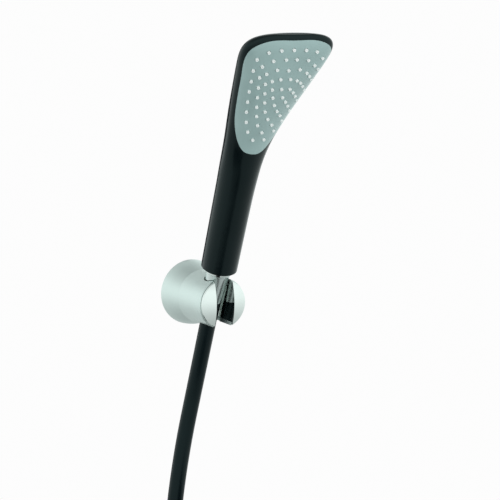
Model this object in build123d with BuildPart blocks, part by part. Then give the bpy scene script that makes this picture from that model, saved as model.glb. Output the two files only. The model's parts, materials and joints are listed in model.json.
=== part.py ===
"""Wall set of a handheld shower head: swivelling wall holder, handset and hose.

Frame: the wall is the plane Y = 0, the set stands out from it towards -Y, and +Z is up.
The origin is the centre of the holder's back face on the wall. Millimetres.
"""
from build123d import *
from math import cos, hypot, pi, radians, sin, tan
import os

# ---------------------------------------------------------------- driving dimensions
# Holder, along its own axis, which is the wall normal. "reach" is the distance from the wall.
FLANGE_R = 30.0
BARREL_R = 22.7
FLARE = [(0.6, 30.0), (5.0, 29.6), (11.0, 28.6), (18.0, 26.8), (25.0, 24.6)]
SHOULDER = [(25.0, 24.6), (33.0, 23.8), (45.0, 23.0)]
HOUSING_REACH = 64.2
FORK_R = 21.8
FORK_BACK = 64.6
FORK_RIM = 66.6
DOME = 4.4
BORE_R = 19.8
SLOT_HALF = 8.9
HUB_R = 12.0
HUB_REACH = 16.0
BUSH_R = 14.0
WEB_BACK = 8.0
WEB_FRONT = 17.0
WALL_HOLE_X = 17.0
WALL_HOLE_R = 2.2
GRUB_REACH = 12.0
GRUB_R = 2.0
FORK_SCREW_R = 1.5
FORK_SCREW_HEAD_R = 2.6

# Handset axis: it leans forward in the holder and crosses the level of the origin at AXIS_Y.
LEAN = 21.5
AXIS_Y = -45.25
HANDLE_END = 34.5

# Nut on the hose end that drops into the fork: heights along the handset axis.
NUT_TOP = 34.0
NUT_COLLAR = 30.4
NUT_COLLAR_R = 12.4
NUT_CONE_R = 11.1
NUT_TIP_R = 8.1
THREAD_R = 9.4
SEAT_TOP_R = 11.5
SEAT_FOOT_R = 9.3
SEAT_FOOT = -34.0

# Handset body by stations: height above the handle's end, half width, front, back, widest line.
BODY = [
    (0.0, 16.3, 16.0, -16.2, 0.0),
    (30.0, 16.6, 16.0, -16.3, 0.0),
    (60.0, 16.9, 16.2, -16.2, 0.0),
    (80.0, 17.3, 16.7, -15.7, 0.2),
    (100.0, 18.2, 17.4, -15.0, 1.0),
    (112.0, 19.2, 17.6, -14.6, 2.8),
    (125.0, 20.7, 18.5, -13.4, 5.5),
    (145.0, 24.4, 24.2, -9.8, 10.2),
    (165.0, 29.0, 31.0, -3.8, 16.1),
    (185.0, 33.6, 38.1, 3.9, 22.3),
    (205.0, 38.0, 44.2, 12.3, 28.6),
    (225.0, 43.0, 46.9, 21.8, 36.0),
    (245.0, 49.0, 49.6, 32.2, 44.2),
]
BODY_TOP = 242.0
WIDTH_CLOSES = 205.0
DEPTH_CLOSES = 224.8
WALL = 2.5
FACE_DEPTH = 5.2

# Spray face: its outline on the front of the head, and the layers behind it.
FACE_TIP = 121.6
FACE_TOP = 237.4
FACE_INSET = 1.9
TIP_LENGTH = 46.0
FACE_THICK = 2.2
MAT_THICK = 1.4
SEAL_THICK = 2.6
JET_THICK = 2.0
LIP = 3.2
# Plane through the middle of the head that parts the face's side from the back: place and tilt.
FACE_BACK = (121.0, 4.0)
FACE_BACK_TURN = 17.5

# Nozzles in four rings and one in the middle. Each ring: how many, the heights of its tip and its top,
# its half width, how pointed its tip is and how far the middle of its top dips.
RINGS = [
    (23, 135.8, 229.7, 31.5, 0.42, 0.0),
    (19, 145.4, 221.2, 25.8, 0.60, 0.0),
    (14, 160.0, 213.8, 19.8, 0.68, 2.6),
    (9, 175.5, 205.2, 12.6, 0.80, 3.0),
]
MIDDLE_NOZZLE = (0.0, 192.5)
NOZZLE_R = 1.6
NOZZLE_PROUD = 1.2
JET_R = 0.45

# Water tube inside the handset: backward distance and height of its corners, and its bend radii.
TUBE_ROUTE = [(0.0, 46.0), (0.0, 112.0), (-5.9, 167.3), (-20.1, 162.3)]
TUBE_BENDS = [40.0, 10.0]
TUBE_R = 6.5
TUBE_BORE_R = 5.3

# Hose.
HOSE_R = 7.4
HOSE_START = 4.0
CORE_START = 4.1
CORE_R = 5.0
CORE_BORE_R = 3.6
COIL_R = 90.0
COIL_TURNS = 2
COIL_Z = -275.0
HOSE_WALL_Y = -11.0
HOSE_X = -26.0
TAIL_END_Z = -360.0
HEX_HALF = 12.0
# Hex nut, along the hose: start, end and bore of its neck, its relief and its thread.
NUT_BORES = [(13.0, 15.3, 7.55), (15.3, 20.6, 9.9), (20.6, 30.0, 9.4)]

# ---------------------------------------------------------------- planes and curves
S, C = sin(radians(LEAN)), cos(radians(LEAN))
HOLDER = Plane(origin=(0, 0, 0), x_dir=(1, 0, 0), z_dir=(0, -1, 0))
HOLDER_CUT = Plane(origin=(0, 0, 0), x_dir=(0, 0, 1), z_dir=(1, 0, 0))
HOLDER_AXIS = Axis((0, 0, 0), (0, -1, 0))
SEAT = Plane(origin=(0, AXIS_Y, 0), x_dir=(1, 0, 0), z_dir=(0, -S, C))
SEAT_CUT = Plane(origin=(0, AXIS_Y, 0), x_dir=(1, 0, 0), z_dir=(0, -C, -S))
SEAT_AXIS = Axis((0, AXIS_Y, 0), (0, -S, C))
HANDSET = SEAT.offset(HANDLE_END)
FRONT = Plane(origin=HANDSET.origin, x_dir=(1, 0, 0), z_dir=(0, -C, -S))
FORWARD = Vector(0, -C, -S)


def between(height, column):
    """Value of a body station column at a height, on a smooth curve through the stations."""
    last = len(BODY) - 2
    i = min(max(sum(1 for row in BODY if row[0] <= height) - 1, 0), last)
    h0, h1 = BODY[i][0], BODY[i + 1][0]
    v0, v1 = BODY[i][column], BODY[i + 1][column]
    step = h1 - h0
    slope = (v1 - v0) / step
    before = slope
    if i > 0:
        before = (v1 - BODY[i - 1][column]) / (h1 - BODY[i - 1][0])
    after = slope
    if i < last:
        after = (BODY[i + 2][column] - v0) / (BODY[i + 2][0] - h0)
    t = (height - h0) / step
    rise = (2 * t**3 - 3 * t**2 + 1) * v0 + (3 * t**2 - 2 * t**3) * v1
    return rise + step * ((t**3 - 2 * t**2 + t) * before + (t**3 - t**2) * after)


def closing(height, start, end, power):
    """1 up to start, then down to 0 at end on a rounded curve."""
    t = min(max((height - start) / (end - start), 0.0), 1.0)
    return (1 - t**power) ** (1 / power)


def squareness(height):
    """Exponent of the front of the cross-section: 2 is an ellipse, more is flatter."""
    if height < 160:
        return 2.0 - 0.1 * max(0.0, (height - 60) / 100)
    return 1.9 + 1.2 * ((height - 160) / 80) ** 1.8


def section_size(height, inset, front_inset):
    """Half width, front, back and widest line of the body at a height, moved in by an inset."""
    top = BODY_TOP - inset
    width_close = closing(height, WIDTH_CLOSES, top, 3.4)
    depth_close = closing(height, DEPTH_CLOSES - inset, top, 2.0)
    rim = between(height, 4)
    half = (between(height, 1) - inset) * width_close
    front = rim + (between(height, 2) - front_inset - rim) * depth_close
    back = rim + (between(height, 3) + inset - rim) * depth_close
    return half, front, back, rim


def section_points(height, inset, front_inset, count=28):
    half, front, back, rim = section_size(height, inset, front_inset)
    power = 2 / squareness(height)
    points = []
    for i in range(count):
        angle = 2 * pi * (i + 0.5) / count
        c, s = cos(angle), sin(angle)
        if s > 0:
            side = 1 if c > 0 else -1
            points.append((half * side * abs(c) ** power, -rim - (front - rim) * s**power))
        else:
            points.append((half * c, -rim - (rim - back) * s))
    return points


def body_loft(heights, inset=0.0, front_inset=0.0):
    """Solid through the body's cross-sections at the given heights."""
    with BuildPart() as solid:
        for height in heights:
            with BuildSketch(HANDSET.offset(height)):
                with BuildLine():
                    Spline(*section_points(height, inset, front_inset), periodic=True)
                make_face()
        loft()
    return solid.part


def front_at(x, height):
    """Forward distance of the head's front surface at a place on it."""
    half, front, back, rim = section_size(height, 0.0, 0.0)
    power = squareness(height)
    share = min(abs(x) / half, 0.999)
    return rim + (front - rim) * (1 - share**power) ** (1 / power)


def face_half(height, inset):
    """Half width of the spray face's outline at a height."""
    tip, top = FACE_TIP + inset, FACE_TOP - inset
    t = min(max((height - tip) / TIP_LENGTH, 0.0), 1.0)
    rounded = (1 - (1 - t) ** 2.7) ** (1 / 2.7)
    return (between(height, 1) - FACE_INSET - inset) * closing(height, WIDTH_CLOSES, top, 3.4) * rounded


def face_prism(inset):
    """Everything in front of the middle of the head, inside the face's outline."""
    tip, top = FACE_TIP + inset, FACE_TOP - inset
    count = 11
    right = []
    for i in range(1, count):
        height = tip + (top - tip) * (1 - cos(pi * i / count)) / 2
        right.append((face_half(height, inset), height))
    left = [(-x, height) for x, height in reversed(right)]
    with BuildPart() as prism:
        with BuildSketch(FRONT):
            with BuildLine():
                Spline((0, tip), *right, (0, top), *left, periodic=True)
            make_face()
        extrude(amount=70, both=True)
        middle = Plane(origin=FRONT.from_local_coords((0, *FACE_BACK)), x_dir=(1, 0, 0),
                       z_dir=FRONT.z_dir.rotate(Axis.X, FACE_BACK_TURN))
        split(bisect_by=middle, keep=Keep.TOP)
    return prism.part


def save(builder, name):
    builder.part.label = name
    export_step(builder.part, f"parts/{name}.step")


def ring_on(plane, start, end, outer, inner):
    """Plain ring or washer round a plane's axis, between two heights."""
    with BuildPart() as ring:
        with BuildSketch(plane.offset(start)):
            Circle(outer)
            if inner:
                Circle(inner, mode=Mode.SUBTRACT)
        extrude(amount=end - start)
    return ring


def seat_cutter(extra):
    """Tapered seat for the nut, open to the front through the slot."""
    foot = SEAT_FOOT
    with BuildPart() as cutter:
        with BuildSketch(SEAT_CUT):
            with BuildLine():
                Polyline((0, foot), (SEAT_FOOT_R + extra, foot),
                         (SEAT_TOP_R + extra, NUT_COLLAR), (SEAT_TOP_R + extra, NUT_COLLAR + 12),
                         (0, NUT_COLLAR + 12), close=True)
            make_face()
        revolve(axis=SEAT_AXIS)
    return cutter.part


def slot_cutter():
    """Straight slot from the seat's axis out through the front of the fork."""
    with BuildPart() as cutter:
        with BuildSketch(SEAT_CUT):
            with Locations((0, (SEAT_FOOT + NUT_COLLAR + 12) / 2)):
                Rectangle(2 * SLOT_HALF, NUT_COLLAR + 12 - SEAT_FOOT)
        extrude(amount=50)
    return cutter.part


# ---------------------------------------------------------------- wall holder
def make_wall_plate():
    with BuildPart() as plate:
        with BuildSketch(HOLDER_CUT):
            with BuildLine():
                Polyline((0, 0), (22.0, 0), (22.0, 3.2), (21.2, 4.0), (HUB_R, 4.0), (HUB_R, 5.0),
                         (11.0, 5.0), (11.0, 7.4), (HUB_R, 7.4), (HUB_R, 9.8), (10.8, 9.8),
                         (10.8, 14.2), (HUB_R, 14.2), (HUB_R, HUB_REACH - 0.6),
                         (HUB_R - 0.6, HUB_REACH), (0, HUB_REACH), close=True)
            make_face()
        revolve(axis=HOLDER_AXIS)
        with BuildSketch(HOLDER):
            with Locations((WALL_HOLE_X, 0), (-WALL_HOLE_X, 0)):
                Circle(WALL_HOLE_R)
        extrude(amount=4.5, mode=Mode.SUBTRACT)
    save(plate, "wall_plate")
    save(ring_on(HOLDER, 5.1, 7.3, HUB_R + 0.04, 11.05), "friction_ring")


def make_housing():
    with BuildPart() as housing:
        with BuildSketch(HOLDER_CUT):
            with BuildLine():
                flare = [(r, reach) for reach, r in FLARE]
                shoulder = [(r, reach) for reach, r in SHOULDER]
                Spline(*flare, tangents=((0, 1), (-0.35, 1)))
                Spline(*shoulder, tangents=((-0.11, 1), (-0.03, 1)))
                Polyline(shoulder[-1], (BARREL_R, HOUSING_REACH - 0.7),
                         (BARREL_R - 0.7, HOUSING_REACH), (BORE_R, HOUSING_REACH),
                         (BORE_R, WEB_FRONT), (BUSH_R + 0.02, WEB_FRONT),
                         (BUSH_R + 0.02, WEB_BACK), (24.0, WEB_BACK), (26.4, 0.6), flare[0])
            make_face()
        revolve(axis=HOLDER_AXIS)
        add(seat_cutter(0.25), mode=Mode.SUBTRACT)
        add(slot_cutter(), mode=Mode.SUBTRACT)
        with BuildSketch(HOLDER.offset(WEB_BACK)):
            with Locations((WALL_HOLE_X, 0), (-WALL_HOLE_X, 0)):
                Circle(FORK_SCREW_HEAD_R + 0.15)
        extrude(amount=5, mode=Mode.SUBTRACT)
        with BuildSketch(HOLDER.offset(WEB_BACK)):
            with Locations((WALL_HOLE_X, 0), (-WALL_HOLE_X, 0)):
                Circle(FORK_SCREW_R + 0.05)
        extrude(amount=WEB_FRONT - WEB_BACK, mode=Mode.SUBTRACT)
        with BuildSketch(Plane.XY.offset(-30)):
            with Locations((0, -GRUB_REACH)):
                Circle(GRUB_R + 0.05)
        extrude(amount=18, mode=Mode.SUBTRACT)
    save(housing, "holder_housing")


def make_fork():
    with BuildPart() as fork:
        with BuildSketch(HOLDER_CUT):
            with BuildLine():
                Polyline((0, WEB_FRONT + 0.3), (BORE_R - 0.1, WEB_FRONT + 0.3),
                         (BORE_R - 0.1, FORK_BACK), (FORK_R - 0.3, FORK_BACK),
                         (FORK_R, FORK_BACK + 0.3), (FORK_R, FORK_RIM - 0.3),
                         (FORK_R - 0.3, FORK_RIM))
                ThreePointArc((FORK_R - 0.3, FORK_RIM),
                              ((FORK_R - 0.3) / 2, FORK_RIM + 0.76 * DOME), (0, FORK_RIM + DOME))
                Line((0, FORK_RIM + DOME), (0, WEB_FRONT + 0.3))
            make_face()
        revolve(axis=HOLDER_AXIS)
        add(seat_cutter(0.0), mode=Mode.SUBTRACT)
        add(slot_cutter(), mode=Mode.SUBTRACT)
        with BuildSketch(HOLDER.offset(WEB_FRONT)):
            with Locations((WALL_HOLE_X, 0), (-WALL_HOLE_X, 0)):
                Circle(FORK_SCREW_R)
        extrude(amount=9, mode=Mode.SUBTRACT)
    save(fork, "swivel_fork")


def make_holder_small_parts():
    with BuildPart() as bush:
        with BuildSketch(HOLDER.offset(4.4)):
            Circle(BUSH_R)
            Circle(HUB_R + 0.07, mode=Mode.SUBTRACT)
        extrude(amount=HUB_REACH - 3.9)
        with BuildSketch(Plane.XY.offset(-30)):
            with Locations((0, -GRUB_REACH)):
                Circle(GRUB_R + 0.05)
        extrude(amount=20, mode=Mode.SUBTRACT)
    save(bush, "swivel_bush")

    with BuildPart() as grub:
        with BuildSketch(Plane.XY.offset(-24.5)):
            with Locations((0, -GRUB_REACH)):
                Circle(GRUB_R)
                RegularPolygon(1.1, 6, mode=Mode.SUBTRACT)
        extrude(amount=3)
        with BuildSketch(Plane.XY.offset(-21.5)):
            with Locations((0, -GRUB_REACH)):
                Circle(GRUB_R)
        extrude(amount=10.4)
    save(grub, "housing_grub_screw")

    with BuildPart() as screws:
        for x in (WALL_HOLE_X, -WALL_HOLE_X):
            with BuildSketch(HOLDER.offset(WEB_BACK + 2.6)):
                with Locations((x, 0)):
                    Circle(FORK_SCREW_HEAD_R)
                    RegularPolygon(1.2, 6, mode=Mode.SUBTRACT)
            extrude(amount=2.4)
            with BuildSketch(HOLDER.offset(WEB_BACK + 4.0)):
                with Locations((x, 0)):
                    Circle(FORK_SCREW_HEAD_R)
            extrude(amount=1.0)
            with BuildSketch(HOLDER.offset(WEB_BACK + 5.0)):
                with Locations((x, 0)):
                    Circle(FORK_SCREW_R - 0.02)
            extrude(amount=12.5)
    save(screws, "fork_screws")


# ---------------------------------------------------------------- handset
def loft_heights(low, high, count):
    """Section heights, close together at the handle's end and closest where the head closes."""
    shares = [(i / count) ** 1.35 for i in range(count + 1)]
    return [low + (high - low) * (1 - (1 - share) ** 1.8) for share in shares]


def ring_place(ring, share):
    """Point on a nozzle ring's outline, share 0 at the tip and 1 at the top centre."""
    tip, top, half, sharpness, dip = ring[1:]
    rise = (1 - cos(pi * share)) / 2
    width = half * (1 + 0.07 * rise) * rise**sharpness * (1 - rise**20) ** 0.4
    return width, tip + (top - tip) * rise - dip * rise**20 * (1 - (width / half) ** 2)


def nozzle_places():
    """Evenly spaced places along each ring, the same on both sides of the middle."""
    places = [MIDDLE_NOZZLE]
    for ring in RINGS:
        count = ring[0]
        steps = [ring_place(ring, i / 240) for i in range(241)]
        lengths = [0.0]
        for a, b in zip(steps, steps[1:]):
            lengths.append(lengths[-1] + hypot(b[0] - a[0], b[1] - a[1]))
        for i in range(count):
            along = 2 * lengths[-1] * i / count
            if ring is RINGS[0]:
                along += lengths[-1]
            side = 1
            if along > lengths[-1]:
                along = 2 * lengths[-1] - along
                side = -1
            near = min(range(241), key=lambda k: abs(lengths[k] - abs(along)))
            x, height = steps[near]
            places.append((side * x if along >= 0 else -side * x, height))
    return places


def nozzle_plane(x, height, sink):
    """Plane on the face at a nozzle, facing along the surface normal."""
    d = 0.5
    slope_x = (front_at(x + d, height) - front_at(x - d, height)) / (2 * d)
    slope_h = (front_at(x, height + d) - front_at(x, height - d)) / (2 * d)
    point = FRONT.from_local_coords((x, height, front_at(x, height)))
    normal = FRONT.x_dir * -slope_x + FRONT.y_dir * -slope_h + FRONT.z_dir
    return Plane(origin=point, x_dir=(1, 0, 0), z_dir=normal).offset(-sink)


def nozzle_group(radius, sink, length, taper=0.0):
    """One cylinder at every nozzle, from under the face outwards."""
    with BuildPart() as group:
        for x, height in nozzle_places():
            with BuildSketch(nozzle_plane(x, height, sink)):
                Circle(radius)
            extrude(amount=length, taper=taper)
    return group.part


def make_handset():
    outer = body_loft(loft_heights(0.0, BODY_TOP - 0.3, 24))
    inner = body_loft(loft_heights(6.0, BODY_TOP - WALL - 0.6, 22), WALL, WALL)

    def behind(depth):
        return outer.moved(Location(FORWARD * -depth))

    with BuildPart() as recess:
        add(outer)
        add(behind(FACE_THICK + 0.05), mode=Mode.SUBTRACT)
        add(face_prism(-0.08), mode=Mode.INTERSECT)

    with BuildPart() as cavity:
        add(inner)
        add(behind(FACE_DEPTH), mode=Mode.INTERSECT)

    with BuildPart() as shell:
        add(outer)
        add(cavity.part, mode=Mode.SUBTRACT)
        add(recess.part, mode=Mode.SUBTRACT)
        add(face_prism(LIP), mode=Mode.SUBTRACT)
        with BuildSketch(HANDSET.offset(-1)):
            Circle(8.25)
        extrude(amount=9, mode=Mode.SUBTRACT)
    save(shell, "handset_shell")

    with BuildPart() as face:
        add(outer)
        add(behind(FACE_THICK), mode=Mode.SUBTRACT)
        add(face_prism(0.0), mode=Mode.INTERSECT)
        add(nozzle_group(NOZZLE_R + 0.08, 4.0, 8.0), mode=Mode.SUBTRACT)
    save(face, "spray_face")

    mat_front = FACE_THICK + 0.05
    with BuildPart() as mat:
        add(behind(mat_front))
        add(behind(mat_front + MAT_THICK), mode=Mode.SUBTRACT)
        add(face_prism(LIP + 0.15), mode=Mode.INTERSECT)
        add(nozzle_group(NOZZLE_R, 3.0, 3.0 + NOZZLE_PROUD, taper=4))
        add(nozzle_group(JET_R, 5.0, 9.0), mode=Mode.SUBTRACT)
    save(mat, "nozzle_mat")

    seal_front = mat_front + MAT_THICK + 0.6
    with BuildPart() as seal:
        add(behind(seal_front))
        add(behind(seal_front + SEAL_THICK), mode=Mode.SUBTRACT)
        add(face_prism(LIP + 0.4), mode=Mode.INTERSECT)
        add(face_prism(LIP + 2.4), mode=Mode.SUBTRACT)
    save(seal, "face_seal")

    jet_front = seal_front + SEAL_THICK + 0.05
    with BuildPart() as jet:
        add(behind(jet_front))
        add(behind(jet_front + JET_THICK), mode=Mode.SUBTRACT)
        add(face_prism(LIP + 0.4), mode=Mode.INTERSECT)
        with BuildSketch(FRONT):
            with Locations((0, TUBE_ROUTE[-1][1])):
                Circle(TUBE_BORE_R)
        extrude(amount=60, mode=Mode.SUBTRACT)
    save(jet, "jet_plate")


def make_water_way():
    """Tube from the inlet up the handle and forward to the jet plate, with its seals."""
    with BuildPart() as tube:
        with BuildLine(Plane.YZ) as path:
            places = [HANDSET.from_local_coords((0, y, height)) for y, height in TUBE_ROUTE]
            FilletPolyline(*[(place.Y, place.Z) for place in places], radius=TUBE_BENDS)
        with BuildSketch(Plane(origin=path.line @ 0, z_dir=path.line % 0)):
            Circle(TUBE_R)
            Circle(TUBE_BORE_R, mode=Mode.SUBTRACT)
        sweep()
    save(tube, "water_tube")

    with BuildPart() as nipple:
        with BuildSketch(SEAT_CUT):
            with BuildLine():
                Polyline((5.0, 20.6), (THREAD_R - 0.7, 20.6), (THREAD_R - 0.1, 21.2),
                         (THREAD_R - 0.1, 32.5), (8.2, 33.2), (8.2, HANDLE_END + 6.2),
                         (10.4, HANDLE_END + 6.2), (10.4, HANDLE_END + 12.0),
                         (9.0, HANDLE_END + 13.5), (9.0, HANDLE_END + 60.0),
                         (7.9, HANDLE_END + 60.0), (7.9, HANDLE_END + 45.5),
                         (5.0, HANDLE_END + 45.5), close=True)
            make_face()
        revolve(axis=SEAT_AXIS)
    save(nipple, "inlet_nipple")

    with BuildPart() as rings:
        for height in (HANDLE_END + 50.0, HANDLE_END + 55.0):
            with BuildSketch(SEAT.offset(height)):
                Circle(7.85)
                Circle(6.6, mode=Mode.SUBTRACT)
            extrude(amount=1.6)
    save(rings, "tube_orings")
    save(ring_on(SEAT, 24.0, 30.0, 4.95, 2.6), "flow_regulator")

    with BuildPart() as sieve:
        with BuildSketch(SEAT.offset(22.2)):
            Circle(4.9)
            with GridLocations(1.6, 1.6, 5, 5):
                Circle(0.5, mode=Mode.SUBTRACT)
        extrude(amount=0.8)
    save(sieve, "inlet_sieve")


# ---------------------------------------------------------------- hose and its fittings
def make_cone_nut():
    with BuildPart() as nut:
        with BuildSketch(SEAT_CUT):
            with BuildLine():
                Polyline((HOSE_R + 0.15, 0.4), (NUT_TIP_R - 0.2, 0), (NUT_TIP_R, 0.2),
                         (NUT_CONE_R, NUT_COLLAR - 0.9), (NUT_CONE_R - 0.35, NUT_COLLAR - 0.5),
                         (NUT_CONE_R - 0.35, NUT_COLLAR), (NUT_COLLAR_R - 0.5, NUT_COLLAR),
                         (NUT_COLLAR_R, NUT_COLLAR + 0.5), (NUT_COLLAR_R, NUT_TOP - 0.6),
                         (NUT_COLLAR_R - 0.6, NUT_TOP), (THREAD_R, NUT_TOP), (THREAD_R, 15.2),
                         (HOSE_R + 0.15, 15.2), close=True)
            make_face()
        revolve(axis=SEAT_AXIS)
    save(nut, "cone_nut")
    save(ring_on(SEAT, 18.3, 20.5, THREAD_R - 0.15, 5.2), "nut_washer")


def make_hose_end(plane, suffix):
    """Brass core with its flange, and the steel ferrule round it, at one end of the hose."""
    with BuildPart() as core:
        with BuildSketch(plane.offset(CORE_START)):
            Circle(CORE_R)
            Circle(CORE_BORE_R, mode=Mode.SUBTRACT)
        extrude(amount=11.5)
        with BuildSketch(plane.offset(CORE_START + 11.5)):
            Circle(THREAD_R - 0.12)
            Circle(CORE_BORE_R, mode=Mode.SUBTRACT)
        extrude(amount=2.5)
    save(core, f"hose_core_{suffix}")
    save(ring_on(plane, CORE_START, 14.8, HOSE_R - 0.05, CORE_R + 0.02), f"hose_ferrule_{suffix}")


def hose_route():
    """Route of the free hose, from inside the nut down in front of the wall to the coil."""
    start = SEAT.from_local_coords((0, 0, HOSE_START))
    return [
        (start.X, start.Y, start.Z),
        (-0.4, -29.5, -41.0),
        (-2.0, -13.2, -88.0),
        (-12.2, -10.6, -138.0),
        (-20.9, -10.9, -188.0),
        (HOSE_X, HOSE_WALL_Y, -236.0),
        (HOSE_X, HOSE_WALL_Y - 0.6, COIL_Z),
    ]


def route_radii(points):
    """Arc radius at each corner: 0.45 of the shorter run over the tangent of half the turn."""
    radii = []
    for a, b, c in zip(points, points[1:], points[2:]):
        first, second = Vector(b) - Vector(a), Vector(c) - Vector(b)
        turn = radians(first.get_angle(second))
        radii.append(0.45 * min(first.length, second.length) / tan(turn / 2))
    return radii


def make_hose():
    points = hose_route()
    radii = route_radii(points)
    with BuildPart() as hose:
        with BuildLine() as path:
            FilletPolyline(*points, radius=radii)
        with BuildSketch(Plane(origin=path.line @ 0, z_dir=path.line % 0)):
            Circle(HOSE_R)
        sweep()
    length = path.wire().length
    print("hose radii", [round(r) for r in radii], "length", round(length, 1))
    print("hose volume over section times length", round(hose.part.volume / (pi * HOSE_R**2 * length), 4))
    save(hose, "hose")
    return length


def make_coil():
    """Turns put away: a flat ring of the outer shape of the turns, standing off the wall."""
    width = (COIL_TURNS + 1) * 2 * HOSE_R
    middle_x = HOSE_X + COIL_TURNS * HOSE_R
    centre_y = HOSE_WALL_Y - COIL_R
    with BuildPart() as coil:
        with BuildSketch(Plane(origin=(middle_x, centre_y, COIL_Z), x_dir=(1, 0, 0), z_dir=(0, 0, 1))):
            with Locations((0, COIL_R)):
                SlotOverall(width, 2 * HOSE_R)
        revolve(axis=Axis((middle_x, centre_y, COIL_Z), (1, 0, 0)))
    save(coil, "hose_coil")

    with BuildPart() as tie:
        with BuildSketch(Plane.XY.offset(COIL_Z - 6)):
            with Locations((middle_x, HOSE_WALL_Y)):
                SlotOverall(width + 3.6, 2 * HOSE_R + 3.6)
                SlotOverall(width + 0.8, 2 * HOSE_R + 0.8, mode=Mode.SUBTRACT)
        extrude(amount=12)
    save(tie, "coil_tie")
    return 2 * pi * COIL_R * COIL_TURNS


def make_tail():
    """Last stretch of hose, hanging from the coil, with its fitting and hex nut."""
    tail_x = HOSE_X + COIL_TURNS * 2 * HOSE_R
    start_z = COIL_Z - 45
    with BuildPart() as tail:
        with BuildSketch(Plane.XY.offset(TAIL_END_Z)):
            with Locations((tail_x, HOSE_WALL_Y)):
                Circle(HOSE_R)
        extrude(amount=start_z - TAIL_END_Z)
    save(tail, "hose_tail")

    end = Plane(origin=(tail_x, HOSE_WALL_Y, TAIL_END_Z + HOSE_START), x_dir=(1, 0, 0), z_dir=(0, 0, -1))
    make_hose_end(end, "lower")
    with BuildPart() as nut:
        for start, end_height, bore in NUT_BORES:
            with BuildSketch(end.offset(start)):
                RegularPolygon(HEX_HALF, 6, major_radius=False)
                Circle(bore, mode=Mode.SUBTRACT)
            extrude(amount=end_height - start)
        chamfer(nut.edges().group_by(Axis.Z)[0].filter_by(GeomType.LINE), length=0.6)
    save(nut, "hex_nut")
    save(ring_on(end, 18.3, 20.5, THREAD_R - 0.15, 5.2), "hex_washer")


def main():
    os.makedirs("parts", exist_ok=True)
    make_wall_plate()
    make_housing()
    make_fork()
    make_holder_small_parts()
    make_handset()
    make_water_way()
    make_cone_nut()
    make_hose_end(SEAT, "upper")
    total = make_hose() + make_coil() + COIL_Z - TAIL_END_Z
    make_tail()
    print("whole hose", round(total))


main()
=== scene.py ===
"""Looks of the handheld shower head set: materials, hose, camera and light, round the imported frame."""
import json
from math import cos, pi, radians, sin
import bpy
from mathutils import Matrix, Vector


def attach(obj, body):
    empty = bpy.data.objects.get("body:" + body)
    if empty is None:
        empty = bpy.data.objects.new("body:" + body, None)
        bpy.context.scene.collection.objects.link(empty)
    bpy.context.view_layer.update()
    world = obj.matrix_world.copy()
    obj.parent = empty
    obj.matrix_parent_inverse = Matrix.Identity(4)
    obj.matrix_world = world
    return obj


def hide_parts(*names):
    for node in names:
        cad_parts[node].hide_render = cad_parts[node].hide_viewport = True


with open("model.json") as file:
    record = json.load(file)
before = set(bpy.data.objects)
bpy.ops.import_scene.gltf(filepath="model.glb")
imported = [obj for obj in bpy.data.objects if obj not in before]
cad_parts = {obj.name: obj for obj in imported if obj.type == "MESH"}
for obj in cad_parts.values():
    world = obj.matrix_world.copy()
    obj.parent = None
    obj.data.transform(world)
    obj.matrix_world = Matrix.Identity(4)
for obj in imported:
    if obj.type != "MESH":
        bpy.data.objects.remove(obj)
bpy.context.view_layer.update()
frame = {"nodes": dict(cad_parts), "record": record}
nodes = frame["nodes"]
MM = 0.001

# ------------------------------------------------ camera: millimetres and degrees, and the lens
CAMERA_AZIMUTH = -28.87
CAMERA_ELEVATION = 9.64
CAMERA_ROLL = 0.24
CAMERA_DISTANCE = 1412.8
CAMERA_AIM = (0.0, -30.0, 0.0)
CAMERA_RIGHT = 41.0
CAMERA_UP = 42.6
LENS = 111.9
SENSOR = 36.0
CLIP_NEAR, CLIP_FAR = 0.01, 300.0

# ------------------------------------------------ handset's axis, nut and hose, in millimetres
LEAN = 21.5
AXIS_Y = -45.25
NUT_COLLAR = 30.2
HOSE_R = 7.4
HOSE_START = 4.0
HOSE_X = -26.0
HOSE_WALL_Y = -11.0
# From below the nut to the top of the run that leads into the coil.
HOSE_ROUTE = [
    (-0.4, -29.5, -41.0),
    (-2.0, -13.2, -88.0),
    (-12.2, -10.6, -138.0),
    (-20.9, -10.9, -188.0),
    (HOSE_X, HOSE_WALL_Y, -236.0),
]
COIL_R = 90.0
COIL_TURNS = 2
COIL_POINTS = 16
COIL_Z = -275.0
TAIL_GUIDE_Z = -323.0
TAIL_END_Z = -360.0
HOSE_STEPS = 10
HOSE_ROUNDNESS = 12

# ------------------------------------------------ surroundings
FLOOR_Z = -440.0
FLOOR_SIDE = 240.0
BACKDROP = 0.98
FLAG_GREY = 0.02
# Brightness of the surroundings from straight down, 0, to straight up, 1, and their colour cast.
SKY = [(0.0, 0.43), (0.25, 0.78), (0.46, 1.22), (0.62, 1.28), (0.85, 0.72), (1.0, 0.42)]
CAST = (0.93, 1.0, 0.985)

# ------------------------------------------------ finishes
# Patches and grain are noises: patches vary colour and gloss, grain gives the bump.
PATCH_SCALE = 40.0
PATCH_DETAIL = 4.0
GRAIN_DETAIL = 6.0
NOISE_ROUGHNESS = 0.55
NOISE_LOW, NOISE_HIGH = 0.3, 0.7
COAT_ROUGHNESS = 0.12
COOL_TINT = (0.72, 1.0, 1.0)
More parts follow.
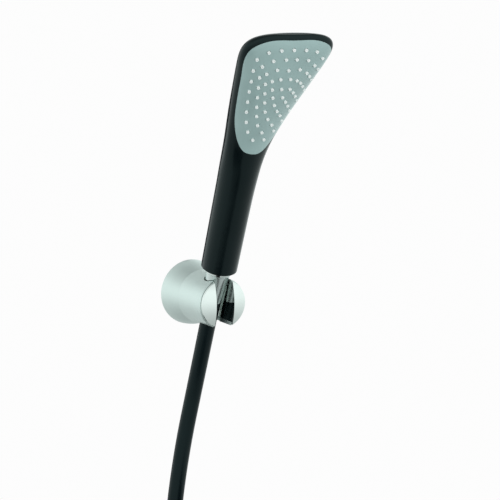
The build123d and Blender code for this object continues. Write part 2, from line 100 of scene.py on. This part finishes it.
# Each finish: its dark and light colour, roughness range, grain per metre, and the bump's strength
# and depth in millimetres.
FINISHES = {
    "zinc_plate": dict(
        dark=(0.30, 0.31, 0.32), light=(0.38, 0.39, 0.40), metallic=0.9, rough=(0.42, 0.6),
        grain=420.0, bump=(0.25, 0.05)),
    "satin_chrome": dict(
        dark=(0.585, 0.665, 0.645), light=(0.635, 0.71, 0.69), metallic=1.0, rough=(0.36, 0.42),
        grain=2600.0, bump=(0.12, 0.02)),
    "polished_chrome": dict(
        dark=(0.66, 0.71, 0.69), light=(0.71, 0.755, 0.735), metallic=1.0, rough=(0.06, 0.10),
        grain=300.0, bump=(0.02, 0.02)),
    "nut_chrome": dict(
        dark=(0.60, 0.66, 0.65), light=(0.68, 0.74, 0.73), metallic=1.0, rough=(0.2, 0.28),
        grain=300.0, bump=(0.02, 0.02)),
    "screw_steel": dict(
        dark=(0.42, 0.43, 0.44), light=(0.55, 0.56, 0.57), metallic=1.0, rough=(0.25, 0.4),
        grain=900.0, bump=(0.2, 0.03)),
    "brass_core": dict(
        dark=(0.62, 0.44, 0.18), light=(0.74, 0.56, 0.27), metallic=1.0, rough=(0.22, 0.36),
        grain=800.0, bump=(0.15, 0.03)),
    "white_nylon": dict(
        dark=(0.74, 0.74, 0.71), light=(0.82, 0.82, 0.79), metallic=0.0, rough=(0.4, 0.55),
        grain=1500.0, bump=(0.1, 0.02)),
    "seal_rubber": dict(
        dark=(0.012, 0.012, 0.013), light=(0.024, 0.024, 0.025), metallic=0.0, rough=(0.55, 0.75),
        grain=1800.0, bump=(0.3, 0.03)),
    "gloss_black": dict(
        dark=(0.001, 0.003, 0.0038), light=(0.002, 0.0045, 0.0055), metallic=0.0, rough=(0.2, 0.25),
        grain=700.0, bump=(0.03, 0.02), specular=0.24, tint=COOL_TINT),
    "grey_face": dict(
        dark=(0.348, 0.472, 0.467), light=(0.384, 0.518, 0.513), metallic=0.25, rough=(0.36, 0.44),
        grain=2200.0, bump=(0.08, 0.02), specular=0.3, coat=0.6),
    "silicone_nozzles": dict(
        dark=(0.96, 0.985, 0.98), light=(0.98, 0.995, 0.99), metallic=0.0, rough=(0.25, 0.35),
        grain=1400.0, bump=(0.1, 0.02), coat=0.5),
    "black_hose": dict(
        dark=(0.001, 0.0035, 0.0045), light=(0.002, 0.005, 0.0065), metallic=0.0, rough=(0.28, 0.36),
        grain=900.0, bump=(0.05, 0.02), specular=0.17, tint=COOL_TINT),
    "tie_black": dict(
        dark=(0.02, 0.02, 0.022), light=(0.032, 0.032, 0.034), metallic=0.0, rough=(0.45, 0.6),
        grain=1200.0, bump=(0.2, 0.03)),
}


# ---------------------------------------------------------------- camera
def make_camera():
    azimuth, elevation = radians(CAMERA_AZIMUTH), radians(CAMERA_ELEVATION)
    roll = radians(CAMERA_ROLL)
    back = Vector((sin(azimuth) * cos(elevation), -cos(azimuth) * cos(elevation), sin(elevation)))
    level = (-back).cross(Vector((0, 0, 1))).normalized()
    upright = level.cross(-back)
    right = cos(roll) * level + sin(roll) * upright
    up = -sin(roll) * level + cos(roll) * upright
    shift = right * CAMERA_RIGHT + up * CAMERA_UP + back * CAMERA_DISTANCE
    place = (Vector(CAMERA_AIM) + shift) * MM
    data = bpy.data.cameras.new("camera")
    data.lens = LENS
    data.sensor_width = SENSOR
    data.clip_start, data.clip_end = CLIP_NEAR, CLIP_FAR
    camera = bpy.data.objects.new("camera", data)
    bpy.context.scene.collection.objects.link(camera)
    turn = Matrix((right, up, back)).transposed().to_4x4()
    camera.matrix_world = Matrix.Translation(place) @ turn
    bpy.context.scene.camera = camera


# ---------------------------------------------------------------- hose
def hose_points():
    """The hose's control points: down from the nut, round the coil and down to its fitting."""
    s, c = sin(radians(LEAN)), cos(radians(LEAN))
    points = [(0.0, AXIS_Y - s * HOSE_START, c * HOSE_START), *HOSE_ROUTE]
    reach = COIL_R / cos(pi / COIL_POINTS)
    for i in range(COIL_TURNS * COIL_POINTS + 1):
        angle = 2 * pi * i / COIL_POINTS
        across = HOSE_X + 2 * HOSE_R * i / COIL_POINTS
        out = HOSE_WALL_Y - COIL_R + reach * cos(angle)
        points.append((across, out, COIL_Z - reach * sin(angle)))
    tail_x = HOSE_X + 2 * HOSE_R * COIL_TURNS
    points.append((tail_x, HOSE_WALL_Y, TAIL_GUIDE_Z))
    points.append((tail_x, HOSE_WALL_Y, TAIL_END_Z))
    return points


def make_hose(material):
    curve = bpy.data.curves.new("shower_hose", "CURVE")
    curve.dimensions = "3D"
    spline = curve.splines.new("NURBS")
    points = hose_points()
    spline.points.add(len(points) - 1)
    for point, place in zip(spline.points, points):
        point.co = (place[0] * MM, place[1] * MM, place[2] * MM, 1.0)
    spline.order_u = 3
    spline.use_endpoint_u = True
    spline.resolution_u = HOSE_STEPS
    curve.bevel_depth = HOSE_R * MM
    curve.bevel_resolution = HOSE_ROUNDNESS
    curve.use_fill_caps = True
    hose = bpy.data.objects.new("shower_hose", curve)
    bpy.context.scene.collection.objects.link(hose)
    curve.materials.append(material)
    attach(hose, "hose_end")
    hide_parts("hose", "hose_coil", "hose_tail")


# ---------------------------------------------------------------- materials
def new_material(name):
    material = bpy.data.materials.new(name)
    material.use_nodes = True
    return material, material.node_tree, material.node_tree.nodes["Principled BSDF"]


def noise(tree, scale, detail):
    """Noise in the object's own coordinates."""
    coords = tree.nodes.new("ShaderNodeTexCoord")
    texture = tree.nodes.new("ShaderNodeTexNoise")
    texture.inputs["Scale"].default_value = scale
    texture.inputs["Detail"].default_value = detail
    texture.inputs["Roughness"].default_value = NOISE_ROUGHNESS
    tree.links.new(coords.outputs["Object"], texture.inputs["Vector"])
    return texture.outputs["Fac"]


def spread(tree, source, low, high, start=NOISE_LOW, end=NOISE_HIGH):
    """A value moved from the range start to end into the range low to high."""
    ramp = tree.nodes.new("ShaderNodeMapRange")
    ramp.inputs["From Min"].default_value = start
    ramp.inputs["From Max"].default_value = end
    ramp.inputs["To Min"].default_value = low
    ramp.inputs["To Max"].default_value = high
    tree.links.new(source, ramp.inputs["Value"])
    return ramp.outputs["Result"]


def mottled(tree, source, dark, light):
    """Colour between two shades by a noise's value."""
    ramp = tree.nodes.new("ShaderNodeValToRGB")
    ramp.color_ramp.elements[0].position = NOISE_LOW
    ramp.color_ramp.elements[1].position = NOISE_HIGH
    ramp.color_ramp.elements[0].color = (*dark, 1.0)
    ramp.color_ramp.elements[1].color = (*light, 1.0)
    tree.links.new(source, ramp.inputs["Fac"])
    return ramp.outputs["Color"]


def bumped(tree, shader, source, strength, distance):
    bump = tree.nodes.new("ShaderNodeBump")
    bump.inputs["Strength"].default_value = strength
    bump.inputs["Distance"].default_value = distance
    tree.links.new(source, bump.inputs["Height"])
    tree.links.new(bump.outputs["Normal"], shader.inputs["Normal"])


def surface(name, dark, light, metallic, rough, grain, bump, specular=0.5,
            tint=(1.0, 1.0, 1.0), coat=0.0):
    """Moulded, plated or turned surface: mottled colour, uneven gloss and a fine grain."""
    material, tree, shader = new_material(name)
    patches = noise(tree, PATCH_SCALE, PATCH_DETAIL)
    fine = noise(tree, grain, GRAIN_DETAIL)
    tree.links.new(mottled(tree, patches, dark, light), shader.inputs["Base Color"])
    tree.links.new(spread(tree, patches, rough[0], rough[1]), shader.inputs["Roughness"])
    bumped(tree, shader, fine, bump[0], bump[1] * MM)
    shader.inputs["Metallic"].default_value = metallic
    shader.inputs["Specular IOR Level"].default_value = specular
    shader.inputs["Specular Tint"].default_value = (*tint, 1.0)
    shader.inputs["Coat Weight"].default_value = coat
    shader.inputs["Coat Roughness"].default_value = COAT_ROUGHNESS
    return material


def dress_cad(materials):
    """Give each CAD node its slot's material; the nut's cone is duller than its collar."""
    for part in frame["record"]["subparts"]:
        mesh = nodes[part["node"]].data
        mesh.materials.clear()
        mesh.materials.append(materials[part["material_slot"]])
    nut = nodes["cone_nut"].data
    nut.materials.append(materials["nut_chrome"])
    turn = nodes["cone_nut"].matrix_world
    for face in nut.polygons:
        place = turn @ face.center / MM
        along = -sin(radians(LEAN)) * (place.y - AXIS_Y) + cos(radians(LEAN)) * place.z
        face.material_index = 0 if along > NUT_COLLAR else 1


# ---------------------------------------------------------------- studio
def make_world():
    """White surroundings with a faint cool cast, darker towards the top and the bottom."""
    world = bpy.data.worlds.new("studio")
    bpy.context.scene.world = world
    world.use_nodes = True
    tree = world.node_tree
    tree.nodes.clear()
    coords = tree.nodes.new("ShaderNodeTexCoord")
    split = tree.nodes.new("ShaderNodeSeparateXYZ")
    tree.links.new(coords.outputs["Generated"], split.inputs["Vector"])
    height = spread(tree, split.outputs["Z"], 0.0, 1.0, -1.0, 1.0)
    ramp = tree.nodes.new("ShaderNodeValToRGB")
    tree.links.new(height, ramp.inputs["Fac"])
    while len(ramp.color_ramp.elements) < len(SKY):
        ramp.color_ramp.elements.new(0.5)
    for element, (place, value) in zip(ramp.color_ramp.elements, SKY):
        element.position = place
        element.color = (value * CAST[0], value * CAST[1], value * CAST[2], 1.0)
    seen = tree.nodes.new("ShaderNodeBackground")
    seen.inputs["Color"].default_value = (BACKDROP, BACKDROP, BACKDROP, 1.0)
    around = tree.nodes.new("ShaderNodeBackground")
    tree.links.new(ramp.outputs["Color"], around.inputs["Color"])
    path = tree.nodes.new("ShaderNodeLightPath")
    mix = tree.nodes.new("ShaderNodeMixShader")
    tree.links.new(path.outputs["Is Camera Ray"], mix.inputs["Fac"])
    tree.links.new(around.outputs["Background"], mix.inputs[1])
    tree.links.new(seen.outputs["Background"], mix.inputs[2])
    output = tree.nodes.new("ShaderNodeOutputWorld")
    tree.links.new(mix.outputs["Shader"], output.inputs["Surface"])


def panel(name, width, height, value):
    """Staged flat rectangle about its own origin that only glows, in one grey."""
    w, h = width / 2, height / 2
    mesh = bpy.data.meshes.new(name)
    mesh.from_pydata([(-w, -h, 0), (w, -h, 0), (w, h, 0), (-w, h, 0)], [], [(0, 1, 2, 3)])
    piece = bpy.data.objects.new(name, mesh)
    bpy.context.scene.collection.objects.link(piece)
    material, _, shader = new_material(name)
    shader.inputs["Base Color"].default_value = (0.0, 0.0, 0.0, 1.0)
    shader.inputs["Specular IOR Level"].default_value = 0.0
    shader.inputs["Emission Color"].default_value = (value, value, value, 1.0)
    shader.inputs["Emission Strength"].default_value = 1.0
    mesh.materials.append(material)
    piece.visible_shadow = False
    return piece


def make_floor():
    """Pale ground that the camera sees and nothing reflects."""
    floor = panel("floor", FLOOR_SIDE, FLOOR_SIDE, BACKDROP)
    floor.location.z = FLOOR_Z * MM
    floor.visible_glossy = False
    floor.visible_diffuse = False


def flag(name, centre, normal, width, height):
    """Dark card that shows only in reflections and in the light."""
    piece = panel(name, width, height, FLAG_GREY)
    piece.location = centre
    piece.rotation_mode = "QUATERNION"
    piece.rotation_quaternion = Vector(normal).to_track_quat("Z", "Y")
    piece.visible_camera = False


def make_studio():
    make_world()
    make_floor()
    flag("flag_back", (0.28, 1.98, 0.0), (-0.14, -1, 0), 1.3, 1.9)
    flag("flag_low", (-0.70, -0.80, -1.42), (0.4, 0.46, 0.79), 1.2, 0.66)
    scene = bpy.context.scene
    scene.view_settings.view_transform = "Standard"
    scene.view_settings.look = "None"


make_camera()
materials = {name: surface(name, **finish) for name, finish in FINISHES.items()}
make_hose(materials["black_hose"])
dress_cad(materials)
make_studio()
